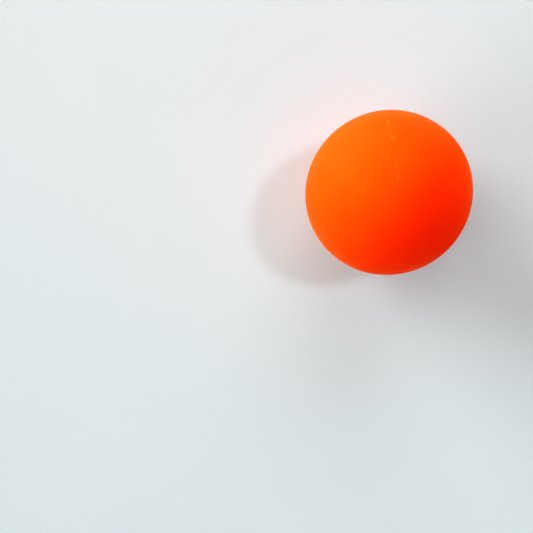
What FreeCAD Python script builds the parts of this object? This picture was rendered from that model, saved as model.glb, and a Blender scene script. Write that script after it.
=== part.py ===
"""Table tennis ball: two moulded half shells, lapped at the equator and bonded by a ring of adhesive.

Millimetres. The origin is the centre of the ball, +Z is up, X runs through both poles and the seam lies in
the YZ plane. The socket half shell is on the -X side and the tongue half shell on the +X side.

Each piece is a profile in the XY plane, drawn above the X axis and turned round it. At the seam both walls
are thickened inwards by a rib. The socket half's rib is rebated from inside, which leaves an outer lip, and
the tongue half's tongue reaches into that rebate. The adhesive fills the step between them, shows outside
as a narrow line flush with the ball, and ends inside in a small bead that was squeezed out.
"""

import FreeCAD, Part
import math
import os
import Sketcher

SHEET = "sizes"
SIZES = [
    ("ball_diameter", 40.0, "outside diameter of the closed ball"),
    ("wall", 0.50, "wall of a half shell away from the seam"),
    ("rib_wall", 0.80, "wall at the seam, thickened inwards by the rib"),
    ("rib_reach", 1.80, "how far the rib runs from the seam plane"),
    ("rib_fade", 0.60, "length over which the rib fades into the wall"),
    ("lip_wall", 0.36, "outer lip of the socket half, over the tongue"),
    ("tongue_length", 0.90, "how far the tongue reaches past the seam plane"),
    ("tongue_chamfer", 0.08, "lead-in on the tip of the tongue"),
    ("film", 0.05, "adhesive between the lip and the tongue"),
    ("glue_line", 0.12, "width of the adhesive that shows outside"),
    ("tip_room", 0.10, "room for adhesive past the tip of the tongue"),
    ("bead_reach", 0.25, "how far the bead spreads on each side, inside"),
    ("bead_height", 0.12, "how far the bead stands off the rib, inside"),
    ("gate_pad_diameter", 4.20, "round pad inside each pole, where the mould fills"),
    ("gate_pad_height", 0.12, "how far that pad stands off the wall, inside"),
]

# Radii and stations along X that several pieces share, as expressions of the sheet's cells.
OUTER = "sizes.ball_diameter / 2"
INNER = "(sizes.ball_diameter / 2 - sizes.wall)"
RIB = "sizes.ball_diameter / 2 - sizes.rib_wall"
SOCKET = "sizes.ball_diameter / 2 - sizes.lip_wall"
TONGUE = "sizes.ball_diameter / 2 - sizes.lip_wall - sizes.film"
TONGUE_NOSE = TONGUE + " - sizes.tongue_chamfer"
BEAD_TOP = RIB + " - sizes.bead_height"
FADE = "(sizes.rib_reach + sizes.rib_fade)"
FADE_RADIUS = f"sqrt({INNER} ^ 2 - {FADE} ^ 2)"
LINE_EDGE = "sizes.glue_line / 2"
TIP = "sizes.tongue_length"
SHOULDER = "(sizes.tongue_length + sizes.tip_room)"
BEAD_MIDDLE = "(sizes.tongue_length + sizes.tip_room / 2)"

ABS_DENSITY = 1.05e-3  # grams in a cubic millimetre
OVERLAP_ALLOWED = 1e-3  # cubic millimetres, for faces that only touch
FLUSH_WITHIN = 1e-6


def make_sheet(doc):
    """The driving dimensions, one named cell each."""
    sheet = doc.addObject("Spreadsheet::Sheet", SHEET)
    for row, (name, size, use) in enumerate(SIZES, start=1):
        sheet.set(f"A{row}", name)
        sheet.set(f"B{row}", str(size))
        sheet.set(f"C{row}", use)
        sheet.setAlias(f"B{row}", name)
    doc.recompute()
    return sheet


def number(sheet, expression):
    """The value of an expression as a plain number of millimetres."""
    found = sheet.evalExpression(expression)
    return float(getattr(found, "Value", found))


def new_body(doc, label):
    """An empty body, placed on the ball's own origin and axes."""
    body = doc.addObject("PartDesign::Body", label)
    body.Label = label
    body.Placement = FreeCAD.Placement(FreeCAD.Vector(0, 0, 0), FreeCAD.Rotation())
    return body


def origin_plane(body, role):
    """One of the body's own origin planes, such as XY_Plane."""
    return next(f for f in body.Origin.OriginFeatures if f.Role == role)


def line(sheet, start, end):
    """A straight edge of a profile, between two corners given as (x, radius) expressions."""
    ends = [FreeCAD.Vector(number(sheet, x), number(sheet, r), 0) for x, r in (start, end)]
    return Part.LineSegment(*ends)


def arc(sheet, radius, start, end):
    """An edge of a profile on a circle about the centre of the ball, anticlockwise from start to end."""
    circle = Part.Circle(FreeCAD.Vector(), FreeCAD.Vector(0, 0, 1), number(sheet, radius))
    angles = [math.atan2(number(sheet, r), number(sheet, x)) for x, r in (start, end)]
    return Part.ArcOfCircle(circle, *angles)


def on_sphere(radius, x):
    """The corner at station x on a sphere about the centre."""
    return (x, f"sqrt(({radius}) ^ 2 - ({x}) ^ 2)")


def drive(sketch, kind, point, expression, sheet):
    """Ties one coordinate of a corner, or the radius of an arc, to an expression of the sheet's cells."""
    value = number(sheet, expression)
    constraint = sketch.addConstraint(Sketcher.Constraint(kind, *point, value))
    sketch.setExpression(f"Constraints[{constraint}]", expression)


def make_profile(body, sheet, name, edges):
    """A closed, fully constrained sketch in the body's XY plane.

    Each edge is (start corner, arc radius or None for a straight edge, backwards). A corner is (x, radius)
    in expressions. An edge runs to the next edge's start. An arc with backwards set is drawn from its end.
    """
    sketch = body.newObject("Sketcher::SketchObject", name)
    sketch.AttachmentSupport = [(origin_plane(body, "XY_Plane"), "")]
    sketch.MapMode = "FlatFace"
    count = len(edges)
    ends = []  # for each edge, which of its two points starts it and which ends it
    for i, (start, radius, backwards) in enumerate(edges):
        end = edges[(i + 1) % count][0]
        if radius is None:
            sketch.addGeometry(line(sheet, start, end), False)
        elif backwards:
            sketch.addGeometry(arc(sheet, radius, end, start), False)
        else:
            sketch.addGeometry(arc(sheet, radius, start, end), False)
        ends.append((2, 1) if backwards else (1, 2))
    for i, (start, radius, _) in enumerate(edges):
        before = (i - 1) % count
        sketch.addConstraint(Sketcher.Constraint("Coincident", before, ends[before][1], i, ends[i][0]))
        if radius is not None:
            sketch.addConstraint(Sketcher.Constraint("Coincident", i, 3, -1, 1))
            drive(sketch, "Radius", (i,), radius, sheet)
        on_arc = radius is not None or edges[before][1] is not None
        x, height = start
        if height == "0":
            sketch.addConstraint(Sketcher.Constraint("PointOnObject", i, ends[i][0], -1))
        if not (on_arc and height == "0"):
            drive(sketch, "DistanceX", (i, ends[i][0]), x, sheet)
        if not on_arc and height != "0":
            drive(sketch, "DistanceY", (i, ends[i][0]), height, sheet)
    return sketch


def turn(body, sketch):
    """Turns the profile once round the X axis."""
    ring = body.newObject("PartDesign::Revolution", sketch.Name + "_turned")
    ring.Profile = sketch
    ring.ReferenceAxis = (sketch, ["H_Axis"])
    ring.Angle = 360.0
    body.Document.recompute()
    return ring


def add_gate_pad(body, side):
    """The round pad inside the pole on one side, sunk half a wall into the shell."""
    pad = body.newObject("PartDesign::AdditiveCylinder", f"gate_pad_{body.Name}")
    pad.AttachmentSupport = [(origin_plane(body, "YZ_Plane"), "")]
    pad.MapMode = "FlatFace"
    pad.setExpression("Radius", "sizes.gate_pad_diameter / 2")
    pad.setExpression("Height", "sizes.gate_pad_height + sizes.wall / 2")
    face = f"{INNER} - sizes.gate_pad_height"
    sunk = f"{OUTER} - sizes.wall / 2"
    pad.setExpression("AttachmentOffset.Base.z", face if side > 0 else f"-({sunk})")
    body.Document.recompute()
    return pad


def make_socket_half(doc, sheet):
    """The half shell on the -X side, with the outer lip and the rebate behind it."""
    body = new_body(doc, "socket_half_shell")
    edges = [
        (on_sphere(OUTER, f"-{LINE_EDGE}"), OUTER, False),
        ((f"-({OUTER})", "0"), None, False),
        ((f"-{INNER}", "0"), INNER, True),
        ((f"-{FADE}", FADE_RADIUS), None, False),
        (("-sizes.rib_reach", RIB), None, False),
        ((f"-{SHOULDER}", RIB), None, False),
        ((f"-{SHOULDER}", SOCKET), None, False),
        ((f"-{LINE_EDGE}", SOCKET), None, False),
    ]
    turn(body, make_profile(body, sheet, "socket_half_profile", edges))
    add_gate_pad(body, -1)
    return body


def make_tongue_half(doc, sheet):
    """The half shell on the +X side, whose tongue reaches past the seam plane under the other's lip."""
    body = new_body(doc, "tongue_half_shell")
    edges = [
        ((OUTER, "0"), OUTER, False),
        (on_sphere(OUTER, LINE_EDGE), None, False),
        ((LINE_EDGE, TONGUE), None, False),
        ((f"-({TIP} - sizes.tongue_chamfer)", TONGUE), None, False),
        ((f"-{TIP}", TONGUE_NOSE), None, False),
        ((f"-{TIP}", RIB), None, False),
        (("sizes.rib_reach", RIB), None, False),
        ((FADE, FADE_RADIUS), INNER, True),
        ((INNER, "0"), None, False),
    ]
    turn(body, make_profile(body, sheet, "tongue_half_profile", edges))
    add_gate_pad(body, 1)
    return body


def make_adhesive(doc, sheet):
    """The ring that bonds the halves: the line outside, the film over the tongue and the bead inside."""
    body = new_body(doc, "seam_adhesive")
    edges = [
        (on_sphere(OUTER, LINE_EDGE), OUTER, False),
        (on_sphere(OUTER, f"-{LINE_EDGE}"), None, False),
        ((f"-{LINE_EDGE}", SOCKET), None, False),
        ((f"-{SHOULDER}", SOCKET), None, False),
        ((f"-{SHOULDER}", RIB), None, False),
        ((f"-({SHOULDER} + sizes.bead_reach)", RIB), None, False),
        ((f"-{BEAD_MIDDLE} - sizes.bead_reach / 2", BEAD_TOP), None, False),
        ((f"-{BEAD_MIDDLE} + sizes.bead_reach / 2", BEAD_TOP), None, False),
        ((f"-({TIP} - sizes.bead_reach)", RIB), None, False),
        ((f"-{TIP}", RIB), None, False),
        ((f"-{TIP}", TONGUE_NOSE), None, False),
        ((f"-({TIP} - sizes.tongue_chamfer)", TONGUE), None, False),
        ((LINE_EDGE, TONGUE), None, False),
    ]
    turn(body, make_profile(body, sheet, "adhesive_profile", edges))
    return body


def check(doc, sheet, bodies):
    """Stops the build if a feature failed, a piece isn't one sound solid, or two pieces overlap."""
    failed = [o.Name for o in doc.Objects if {"Invalid", "Error"} & set(o.State)]
    if failed:
        raise RuntimeError(f"these objects failed: {failed}")
    for sketch in doc.findObjects("Sketcher::SketchObject"):
        if sketch.solve() != 0 or not sketch.FullyConstrained:
            raise RuntimeError(f"{sketch.Name} isn't fully constrained")
    radius = number(sheet, OUTER)
    for body in bodies:
        shape = body.Shape
        if shape.isNull() or not shape.isValid() or len(shape.Solids) != 1:
            raise RuntimeError(f"{body.Label} isn't one sound solid")
        reach = max(abs(shape.BoundBox.YMin), abs(shape.BoundBox.ZMax))
        if reach > radius + FLUSH_WITHIN:
            raise RuntimeError(f"{body.Label} stands {reach - radius} mm proud of the ball")
    for i, one in enumerate(bodies):
        for other in bodies[i + 1 :]:
            shared = one.Shape.common(other.Shape).Volume
            if shared > OVERLAP_ALLOWED:
                raise RuntimeError(f"{one.Label} and {other.Label} share {shared} mm3")


def main():
    doc = FreeCAD.newDocument("table_tennis_ball")
    sheet = make_sheet(doc)
    bodies = [make(doc, sheet) for make in (make_socket_half, make_tongue_half, make_adhesive)]
    doc.recompute()
    check(doc, sheet, bodies)
    os.makedirs("parts", exist_ok=True)
    for body in bodies:
        body.Shape.exportStep(f"parts/{body.Label}.step")
        print(f"{body.Label}: {body.Shape.Volume:.2f} mm3")
    volume = sum(body.Shape.Volume for body in bodies)
    print(f"the ball weighs {volume * ABS_DENSITY:.3f} g in ABS")


main()
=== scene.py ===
import math
import random

import bmesh
import bpy
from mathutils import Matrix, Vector, noise


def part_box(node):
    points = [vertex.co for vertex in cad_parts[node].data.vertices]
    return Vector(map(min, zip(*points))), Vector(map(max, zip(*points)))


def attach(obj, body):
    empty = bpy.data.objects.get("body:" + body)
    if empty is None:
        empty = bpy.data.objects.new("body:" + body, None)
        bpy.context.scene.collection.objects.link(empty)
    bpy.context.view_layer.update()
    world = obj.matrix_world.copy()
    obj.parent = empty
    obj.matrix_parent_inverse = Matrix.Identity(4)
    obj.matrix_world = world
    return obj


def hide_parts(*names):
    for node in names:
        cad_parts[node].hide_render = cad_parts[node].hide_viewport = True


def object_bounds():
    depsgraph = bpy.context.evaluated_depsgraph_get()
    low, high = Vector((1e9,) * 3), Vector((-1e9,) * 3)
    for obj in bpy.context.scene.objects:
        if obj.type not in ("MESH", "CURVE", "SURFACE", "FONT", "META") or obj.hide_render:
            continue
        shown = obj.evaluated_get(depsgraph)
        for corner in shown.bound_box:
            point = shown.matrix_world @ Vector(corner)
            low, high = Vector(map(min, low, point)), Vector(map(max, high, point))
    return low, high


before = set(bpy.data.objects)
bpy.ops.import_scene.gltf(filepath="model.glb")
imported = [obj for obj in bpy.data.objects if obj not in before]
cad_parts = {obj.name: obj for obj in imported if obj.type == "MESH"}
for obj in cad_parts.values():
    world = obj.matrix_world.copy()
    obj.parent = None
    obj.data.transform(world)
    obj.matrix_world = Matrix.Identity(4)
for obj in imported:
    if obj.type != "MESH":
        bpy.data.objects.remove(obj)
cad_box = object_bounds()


# ---------------------------------------------------------------------------------------------- camera
# A hand-held camera over the sheet, looking almost straight down with the ball up and to the right of
# its middle. The sensor is 36 mm wide.
MM = 0.001  # the scene is in metres, and sizes are given in millimetres
scene = bpy.context.scene
camera_data = bpy.data.cameras.new("overhead_camera")
camera_data.sensor_width = 36.0
camera_data.lens = 36.7
camera_data.clip_start = 0.005
camera = bpy.data.objects.new("overhead_camera", camera_data)
camera.location = Vector((-18.1, 1.5, 137.3)) * MM
camera.rotation_euler = [math.radians(angle) for angle in (-7.42, 4.81, -6.06)]
scene.collection.objects.link(camera)
scene.camera = camera


# ----------------------------------------------------------------------------------- socket half shell
# One of the two cups of the ball, injection moulded in orange ABS half a millimetre thick. Its wall is
# thicker inside along the seam, where a rebate leaves an outer lip, and a round pad marks the gate at
# the pole. After bonding, the whole ball was tumbled until its outside was evenly matt.
ball_radius = cad_box[1][2] / MM
line_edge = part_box("seam_adhesive")[1].x / MM  # from the seam plane to the edge of either half
wall = 0.50
rib_wall = 0.80
rib_reach = 1.80
rib_fade = 0.60
lip_wall = 0.36
rebate_depth = 1.00
gate_pad_radius = 2.10
gate_pad_height = 0.12
gate_pad_bevel = 0.05

sanded_reach = 1.6  # how far from the seam the surface follows the seam's own edge
edge_break = 0.09  # width of the softened corner where a half meets the adhesive
edge_sink = 0.0055  # usual depth of that corner
edge_sink_change = 0.009  # how far the depth strays from that along the seam
edge_sink_stretches = 2.2  # how often it changes, to a radian
chip_depth = 0.16
tail_fade = 0.6  # how much of its paleness a filling loses towards its thin end

# The edge at the seam is uneven by these shares of its distance, as (share, bumps to a radian).
ragged_line = ((0.35, 14), (0.25, 45))
ragged_chip = (0.5, 90)

# The tumbled outside waves, as (height in mm, waves to a millimetre), a little under the moulded size.
slow_wave = (0.012, 0.11)
fine_wave = (0.003, 0.6)
tumbled_off = 0.015

# Chips along the rims, which the adhesive filled. Each is (degrees from the top towards +Y, length along
# the seam in mm, width in mm, how pale the filling is, skew). A skew under 1 puts the blunt, thick end at
# the larger angle, and one over 1 at the smaller. The far side carries a few more.
chips = [
    (51.5, 1.75, 0.36, 1.0, 0.55),
    (37.0, 1.3, 0.30, 0.9, 0.5),
    (16.5, 1.1, 0.24, 0.3, 0.6),
    (9.3, 1.2, 0.28, 0.65, 0.7),
    (-49.5, 1.3, 0.28, 0.3, 0.55),
    (-67, 1.6, 0.50, 0.3, 0.55),
]
far_side = random.Random(40)
for start in range(80, 300, 28):
    chips.append((start + far_side.uniform(0, 20), far_side.uniform(0.5, 1.8), far_side.uniform(0.2, 0.45),
                  far_side.uniform(0.1, 0.8), far_side.uniform(0.5, 1.7)))


def seam_fill(angle):
    """How far a chip widens the seam at this angle, in mm, and how pale its filling is."""
    widest, palest = 0.0, 0.0
    for place, length, width, pale, skew in chips:
        away = (math.degrees(angle) - place + 180) % 360 - 180
        along = 0.5 - math.radians(away) * ball_radius / length
        if 0 < along < 1:
            shape = math.sin(math.pi * along**skew)
            towards_tail = along if skew < 1 else 1 - along
            widest = max(widest, width / 2 * shape)
            palest = max(palest, pale * min(1.0, 2 * shape) * (1 - tail_fade * towards_tail))
    return widest, palest


def edge_reach(angle, side):
    """Distance from the seam plane to the edge of the half on that side, in mm: a fine uneven line."""
    place = Vector((side * 3.0, math.sin(angle), math.cos(angle)))  # 3 gives each side its own noise
    ragged = sum(share * noise.noise(place * bumps) for share, bumps in ragged_line)
    share, bumps = ragged_chip
    return line_edge * (1 + ragged) + seam_fill(angle)[0] * (1 + share * noise.noise(place * bumps))


def edge_depth(angle):
    """How deep the softened corner lies at this angle: some stretches of the seam hardly show."""
    place = Vector((math.cos(angle), math.sin(angle), 7.0))  # 7 keeps it apart from the other noise
    return edge_sink + edge_sink_change * noise.noise(place * edge_sink_stretches)


def outer_radius(x, angle, side):
    """Radius of the tumbled outside at a place, in mm from the ball's centre."""
    height = math.sqrt(max(ball_radius**2 - x**2, 0.0))
    place = Vector((x, math.sin(angle) * height, math.cos(angle) * height))
    waves = sum(tall * noise.noise(place * often) for tall, often in (slow_wave, fine_wave))
    from_edge = (abs(x) - edge_reach(angle, side)) / edge_break
    corner = edge_depth(angle) * math.exp(-(from_edge**2))
    return ball_radius + waves - tumbled_off - corner


def outside(x, angle, side):
    """A point of the outside, as (x, distance from the X axis)."""
    scale = outer_radius(x, angle, side) / ball_radius
    return x * scale, math.sqrt(max(ball_radius**2 - x**2, 0.0)) * scale


def turned_mesh(name, rings, closed):
    """A mesh skinned over rings round the X axis.

    A ring is (count, place), where place(angle) gives (x, distance from the axis). A ring of count 1 is a
    point on the axis. Neighbouring rings have the same count, or one has twice the other's. A closed mesh
    joins the last ring to the first.
    """
    points, firsts, faces = [], [], []
    for count, place in rings:
        firsts.append(len(points))
        for step in range(count):
            angle = 2 * math.pi * step / count
            x, height = place(angle)
            points.append((x * MM, math.sin(angle) * height * MM, math.cos(angle) * height * MM))
    pairs = list(zip(range(len(rings)), range(1, len(rings))))
    if closed:
        pairs.append((len(rings) - 1, 0))
    for one, two in pairs:
        (few, coarse), (many, fine) = sorted(((rings[ring][0], firsts[ring]) for ring in (one, two)),
                                             key=lambda pair: pair[0])
        for step in range(few):
            here, there = coarse + step, coarse + (step + 1) % few
            if few == 1:
                fan = [(coarse, fine + k, fine + (k + 1) % many) for k in range(many)]
            elif few == many:
                fan = [(here, fine + step, fine + (step + 1) % many, there)]
            else:
                left, middle, right = (fine + (2 * step + k) % many for k in range(3))
                fan = [(here, left, middle), (here, middle, there), (there, middle, right)]
            faces += fan
    mesh = bpy.data.meshes.new(name)
    mesh.from_pydata(points, [], faces)
    skin = bmesh.new()
    skin.from_mesh(mesh)
    bmesh.ops.recalc_face_normals(skin, faces=skin.faces)
    skin.to_mesh(mesh)
    skin.free()
    mesh.shade_smooth()
    mesh.set_sharp_from_angle(angle=math.radians(35))
    piece = bpy.data.objects.new(name, mesh)
    scene.collection.objects.link(piece)
    return piece


around_seam = 1440  # points round the ball at the seam, where a chip is a fraction of a millimetre
around_cap = around_seam // 4
around_pole = around_cap // 8


def points_around(height):
    """Points round a ring of this distance from the axis, halved where they would crowd."""
    crowded = 0.7
    count = around_cap
    while count > around_pole and height < crowded * ball_radius * count / around_cap:
        count //= 2
    return count


def outside_rings(side):
    """Rings over the outside of a half, from its pole to its edge at the seam."""
    pole_sink = 0.02  # the waves of the surface round the pole lie about this far in
    cap_end, cap_rings = 4.2, 71  # evenly spaced rings, up to this distance from the seam
    rings = [(1, lambda angle: (side * (ball_radius - pole_sink), 0.0))]
    widest = math.acos(cap_end / ball_radius)
    for step in range(1, cap_rings + 1):
        polar = widest * step / cap_rings
        x = side * ball_radius * math.cos(polar)
        count = points_around(ball_radius * math.sin(polar))
        rings.append((count, lambda angle, x=x: outside(x, angle, side)))
    closing_in = (3.5, 2.9, 2.4, 2.0)  # mm from the seam
    for x in closing_in:
        rings.append((around_seam // 2, lambda angle, x=x: outside(side * x, angle, side)))
    to_the_edge = (1.0, 0.7, 0.46, 0.3, 0.19, 0.12, 0.08, 0.05, 0.025, 0.0)  # shares of sanded_reach
    for share in to_the_edge:
        def near_seam(angle, share=share):
            edge = edge_reach(angle, side)
            return outside(side * (edge + (sanded_reach - edge) * share), angle, side)
        rings.append((around_seam, near_seam))
    return rings


def inside_rings(side):
    """Rings over the inside of a half, from its rib to the gate pad at its pole."""
    inner = ball_radius - wall
    rib = ball_radius - rib_wall
    fade = rib_reach + rib_fade
    pad_x = side * (inner - gate_pad_height)
    rings = [
        (around_seam // 2, lambda angle: (side * rib_reach, rib)),
        (around_cap, lambda angle: (side * fade, math.sqrt(inner**2 - fade**2))),
    ]
    first = math.acos(fade / inner)
    last = math.asin(gate_pad_radius / inner)
    wall_rings = 30
    for step in range(1, wall_rings + 1):
        polar = first + (last - first) * step / wall_rings
        height = inner * math.sin(polar)
        count = points_around(height)
        rings.append((count, lambda angle, x=inner * math.cos(polar), height=height: (side * x, height)))
    rings.append((around_pole, lambda angle: (pad_x, gate_pad_radius - gate_pad_bevel)))
    rings.append((1, lambda angle: (pad_x, 0.0)))
    return rings


def below_chips(angle, side):
    """A point of the rim's flat face, under the chips."""
    return side * line_edge, ball_radius - chip_depth


socket_rings = outside_rings(-1) + [
    (around_seam, lambda angle: below_chips(angle, -1)),
    (around_seam, lambda angle: (-line_edge, ball_radius - lip_wall)),
    (around_seam, lambda angle: (-rebate_depth, ball_radius - lip_wall)),
    (around_seam, lambda angle: (-rebate_depth, ball_radius - rib_wall)),
] + inside_rings(-1)
socket_half = turned_mesh("socket_half", socket_rings, closed=False)


def linear(hex_colour):
    """An sRGB hex colour as the linear RGBA that shaders take."""
    parts = [int(hex_colour[i:i + 2], 16) / 255 for i in (1, 3, 5)]
    return [c / 12.92 if c <= 0.04045 else ((c + 0.055) / 1.055) ** 2.4 for c in parts] + [1.0]


def add_node(tree, kind, settings=None, inputs=None):
    """Adds a shader node, sets its properties, and fills or links its inputs."""
    new = tree.nodes.new("ShaderNode" + kind)
    for name, value in (settings or {}).items():
        setattr(new, name, value)
    for socket, value in (inputs or {}).items():
        if isinstance(value, bpy.types.NodeSocket):
            tree.links.new(value, new.inputs[socket])
        else:
            new.inputs[socket].default_value = value
    return new


def new_material(name):
    """An empty node material, its tree and a socket with the place on the ball in millimetres."""
    material = bpy.data.materials.new(name)
    material.use_nodes = True
    tree = material.node_tree
    tree.nodes.clear()
    place = add_node(tree, "TexCoord").outputs["Object"]
    in_mm = add_node(tree, "VectorMath", {"operation": "SCALE"}, {0: place, "Scale": 1 / MM})
    return material, tree, in_mm.outputs["Vector"]


# ABS, tumbled matt and coloured with a daylight-fluorescent orange. To the eye it is a soft, even,
# saturated orange with no highlight, which yellows where the surface turns edge-on to the light and
# reddens in the shade. Part of that red is painted light. The thin wall passes red and the pigment gives
# back more than it gets, and both stand here as a constant red emission. This painted glow lights the
# ball even where no light falls.
shell_orange = "#DE4A0A"
shell_deep = "#DE4206"
shell_scuffed = "#E07434"
limb_haze = {"Sheen Weight": 0.095, "Sheen Roughness": 0.5, "Sheen Tint": linear("#FFDCB4")}
# Painted glow: a constant red emission, the same all over, standing in for light through the wall and for
# fluorescence.
painted_red_glow = {"Emission Color": linear("#FF1400"), "Emission Strength": 0.25}
cloud_size = 7.0

shell_plastic, tree, place = new_material("ABS_orange_tumbled_matt")
cloud = add_node(tree, "TexNoise", {},
                 {"Vector": place, "Scale": 1 / cloud_size, "Detail": 3.0, "Roughness": 0.55})
pigment = add_node(tree, "MixRGB", {"blend_type": "MIX"}, {
    "Fac": cloud.outputs["Fac"], "Color1": linear(shell_orange), "Color2": linear(shell_deep)})
# Rubs against the table and the bats: pale hair scuffs a few millimetres long, in scattered patches.
rub_length = 3.0
rub_width = 0.25
rub_turn = (0.6, 0.3, 0.9)
patch_size = 11.0
patch_pick = 27.0  # which patches fall where
rub_place = add_node(tree, "Mapping", {"vector_type": "POINT"}, {
    "Vector": place, "Rotation": rub_turn, "Scale": (1 / rub_length, 1 / rub_width, 1 / rub_length)})
rubs = add_node(tree, "TexNoise", {}, {
    "Vector": rub_place.outputs[0], "Scale": 1.0, "Detail": 4.0, "Roughness": 0.6})
rub_lines = add_node(tree, "MapRange", {}, {
    "Value": rubs.outputs["Fac"], "From Min": 0.60, "From Max": 0.72})
patches = add_node(tree, "TexNoise", {"noise_dimensions": "4D"}, {
    "Vector": place, "W": patch_pick, "Scale": 1 / patch_size, "Detail": 1.0})
rub_patches = add_node(tree, "MapRange", {}, {
    "Value": patches.outputs["Fac"], "From Min": 0.56, "From Max": 0.68, "To Max": 0.5})
scuff = add_node(tree, "Math", {"operation": "MULTIPLY"}, {
    0: rub_lines.outputs[0], 1: rub_patches.outputs[0]})
colour = add_node(tree, "MixRGB", {"blend_type": "MIX"},
                  {"Fac": scuff.outputs[0], "Color1": pigment.outputs[0], "Color2": linear(shell_scuffed)})
# The tumbling media leave pits of about 0.05 mm. They are drawn 0.3 mm wide here so that they show.
pit_width = 0.3
grain = add_node(tree, "TexNoise", {},
                 {"Vector": place, "Scale": 1 / pit_width, "Detail": 4.0, "Roughness": 0.7})
finish = add_node(tree, "MapRange", {}, {"Value": grain.outputs["Fac"], "To Min": 0.62, "To Max": 0.78})
bump = add_node(tree, "Bump", {}, {"Height": grain.outputs["Fac"], "Strength": 0.6, "Distance": 0.03 * MM})
shell_shader = add_node(tree, "BsdfPrincipled", {}, {
    "Base Color": colour.outputs[0], "Roughness": finish.outputs[0], "Normal": bump.outputs[0],
    "IOR": 1.54, "Specular IOR Level": 0.06, **limb_haze, **painted_red_glow})
add_node(tree, "OutputMaterial", {}, {"Surface": shell_shader.outputs[0]})

socket_half.data.materials.append(shell_plastic)
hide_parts("socket_half_shell")
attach(socket_half, "root")


# ----------------------------------------------------------------------------------- tongue half shell
# The other cup, moulded in the same ABS. Its tongue runs round the inside of the rim and reaches under
# the socket half's lip, with a small lead-in at its tip.
tongue_length = 0.90
tongue_chamfer = 0.08
film = 0.05
tongue_radius = ball_radius - lip_wall - film

tongue_rings = outside_rings(1) + [
    (around_seam, lambda angle: below_chips(angle, 1)),
    (around_seam, lambda angle: (line_edge, tongue_radius)),
    (around_seam, lambda angle: (tongue_chamfer - tongue_length, tongue_radius)),
    (around_seam, lambda angle: (-tongue_length, tongue_radius - tongue_chamfer)),
    (around_seam, lambda angle: (-tongue_length, ball_radius - rib_wall)),
] + inside_rings(1)
tongue_half = turned_mesh("tongue_half", tongue_rings, closed=False)
tongue_half.data.materials.append(shell_plastic)
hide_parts("tongue_half_shell")
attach(tongue_half, "root")


# --------------------------------------------------------------------------------------- seam adhesive
# Solvent cement: ABS dissolved in solvent, brushed round the lip before the halves were pressed together.
# It lines the lap, stands as a bead inside, and was sanded flush outside with the rest of the seam.
bead_reach = 0.25
bead_height = 0.12
fill_crown = 0.012  # how far the palest filling stands proud


def line_place(share):
    """The outside of the adhesive, at a share of the way from the tongue half's edge to the socket half's."""
    def place(angle):
        edges = edge_reach(angle, 1), -edge_reach(angle, -1)
        x = edges[0] + (edges[1] - edges[0]) * share
        here = outside(edges[0], angle, 1) if share < 0.5 else outside(edges[1], angle, -1)
        if share in (0.0, 1.0):
            return here
        return x, math.hypot(*here) + fill_crown * seam_fill(angle)[1]
    return place


middle = (tongue_length + rebate_depth) / 2
adhesive_rings = [(around_seam, line_place(share)) for share in (0.0, 0.25, 0.5, 0.75, 1.0)] + [
    (around_seam, lambda angle, x=x, height=height: (x, ball_radius - height)) for x, height in (
        (-line_edge, chip_depth),
        (-line_edge, lip_wall),
        (-rebate_depth, lip_wall),
        (-rebate_depth, rib_wall),
        (-rebate_depth - bead_reach, rib_wall),
        (-middle - bead_reach / 2, rib_wall + bead_height),
        (-middle + bead_reach / 2, rib_wall + bead_height),
        (bead_reach - tongue_length, rib_wall),
        (-tongue_length, rib_wall),
        (-tongue_length, lip_wall + film + tongue_chamfer),
        (tongue_chamfer - tongue_length, lip_wall + film),
        (line_edge, lip_wall + film),
        (line_edge, chip_depth),
    )
]
adhesive_ring = turned_mesh("adhesive_ring", adhesive_rings, closed=True)
filling = adhesive_ring.data.attributes.new("filling", "FLOAT", "POINT")
palest = [seam_fill(2 * math.pi * step / around_seam)[1] for step in range(around_seam)]
filling.data.foreach_set("value", palest * len(adhesive_rings))

# Cement stained by the shell's own pigment where it is thin. It shows as a hairline, and as flecks of a
# paler, yellower orange where a chip let it stand thick.
cement_thin = "#DE4607"
cement_thick = "#EE6A36"
speckle_size = 0.35
cement, tree, place = new_material("ABS_cement_sanded_flush")
thick = add_node(tree, "Attribute", {"attribute_name": "filling"})
speckle = add_node(tree, "TexNoise", {}, {"Vector": place, "Scale": 1 / speckle_size, "Detail": 2.0})
pale = add_node(tree, "MapRange", {}, {"Value": speckle.outputs["Fac"], "From Min": 0.3, "From Max": 0.7,
                                       "To Min": 0.75, "To Max": 1.0})
share = add_node(tree, "Math", {"operation": "MULTIPLY"}, {0: thick.outputs["Fac"], 1: pale.outputs[0]})
colour = add_node(tree, "MixRGB", {"blend_type": "MIX"},
                  {"Fac": share.outputs[0], "Color1": linear(cement_thin), "Color2": linear(cement_thick)})
finish = add_node(tree, "MapRange", {}, {"Value": speckle.outputs["Fac"], "To Min": 0.5, "To Max": 0.7})
# The cement carries the same painted red glow as the shell.
cement_shader = add_node(tree, "BsdfPrincipled", {}, {
    "Base Color": colour.outputs[0], "Roughness": finish.outputs[0], "IOR": 1.5,
    "Specular IOR Level": 0.06, **limb_haze, **painted_red_glow})
add_node(tree, "OutputMaterial", {}, {"Surface": cement_shader.outputs[0]})

adhesive_ring.data.materials.append(cement)
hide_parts("seam_adhesive")
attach(adhesive_ring, "root")


# -------------------------------------------------------------------------------------- floor and light
# A plain sheet of matt white card under the ball. Daylight comes from a row of windows low down, from the
# back round to the left. A ceiling light glows softly close above, the wall opposite gives back a little,
# and a small lamp shines from high on the right.
card_reach = 6.0
floor_mesh = bpy.data.meshes.new("card_floor")
corners = [(x * card_reach, y * card_reach) for x, y in ((-1, -1), (1, -1), (1, 1), (-1, 1))]
floor_mesh.from_pydata([(x, y, cad_box[0][2]) for x, y in corners], [], [(0, 1, 2, 3)])
card_floor = bpy.data.objects.new("card_floor", floor_mesh)
scene.collection.objects.link(card_floor)

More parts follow.
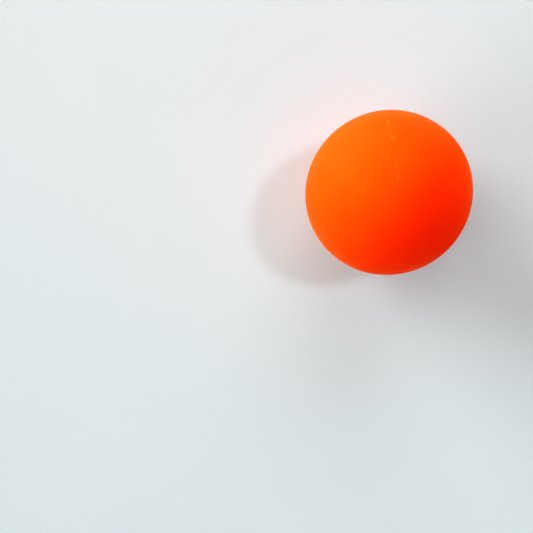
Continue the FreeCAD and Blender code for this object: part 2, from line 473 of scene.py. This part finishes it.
# Uncoated card: an even, pale grey-white without gloss, faintly clouded where its fibres lie thicker.
card_white = "#B8BBBA"
card_clouded = "#BCBEBC"
card_cloud_size = 40.0
card, tree, place = new_material("card_matt_white")
fibre = add_node(tree, "TexNoise", {}, {"Vector": place, "Scale": 1 / card_cloud_size, "Detail": 3.0})
tone = add_node(tree, "MixRGB", {"blend_type": "MIX"},
                {"Fac": fibre.outputs["Fac"], "Color1": linear(card_white), "Color2": linear(card_clouded)})
card_shader = add_node(tree, "BsdfPrincipled", {}, {"Base Color": tone.outputs[0], "Roughness": 0.7,
                                                    "Specular IOR Level": 0.0})
add_node(tree, "OutputMaterial", {}, {"Surface": card_shader.outputs[0]})
floor_mesh.materials.append(card)


def add_sun(name, towards, strength, width, colour):
    """A soft light at infinity that shines from a direction, width degrees across."""
    data = bpy.data.lights.new(name, "SUN")
    data.energy = strength
    data.angle = math.radians(width)
    data.color = linear(colour)[:3]
    light = bpy.data.objects.new(name, data)
    light.rotation_euler = Vector(towards).to_track_quat("Z", "Y").to_euler()
    scene.collection.objects.link(light)


daylight = "#E9F8FF"
add_sun("window_back", (0.25, 0.91, 0.33), 2.6, 46, daylight)
add_sun("window_corner", (-0.74, 0.63, 0.22), 7.9, 46, daylight)
add_sun("window_left", (-0.93, -0.25, 0.26), 2.7, 46, daylight)
add_sun("wall_opposite", (0.62, -0.74, 0.20), 0.6, 60, "#FFEEDD")
add_sun("lamp", (0.54, 0.18, 0.82), 1.25, 8, "#DCEDFF")

ceiling_data = bpy.data.lights.new("ceiling", "AREA")
ceiling_data.size = 0.20
ceiling_data.energy = 0.19
ceiling_data.color = linear("#FFD9C4")[:3]
ceiling = bpy.data.objects.new("ceiling", ceiling_data)
ceiling.location = (-0.05, 0.09, 0.19)
ceiling.visible_camera = False
scene.collection.objects.link(ceiling)

# The room itself gives a little warm light from all round. The camera sees the far floor's own tone in
# place of a horizon.
world = bpy.data.worlds.new("pale_room")
scene.world = world
world.use_nodes = True
tree = world.node_tree
tree.nodes.clear()
seen = add_node(tree, "LightPath").outputs["Is Camera Ray"]
lighting = add_node(tree, "Background", {}, {"Color": linear("#FFE4D0"), "Strength": 0.18})
backdrop = add_node(tree, "Background", {}, {"Color": linear("#D4E1E5"), "Strength": 1.0})
room = add_node(tree, "MixShader", {}, {0: seen, 1: lighting.outputs[0], 2: backdrop.outputs[0]})
add_node(tree, "OutputWorld", {}, {"Surface": room.outputs[0]})

# A camera's tone curve: straight, with a toe that deepens the dark end and so makes the colours fuller.
scene.view_settings.view_transform = "Standard"
scene.view_settings.use_curve_mapping = True
tone_curve = scene.view_settings.curve_mapping
combined = tone_curve.curves[3]
for before, after in ((0.06, 0.012), (0.11, 0.052), (0.24, 0.185), (0.5, 0.46)):
    combined.points.new(before, after)
tone_curve.update()
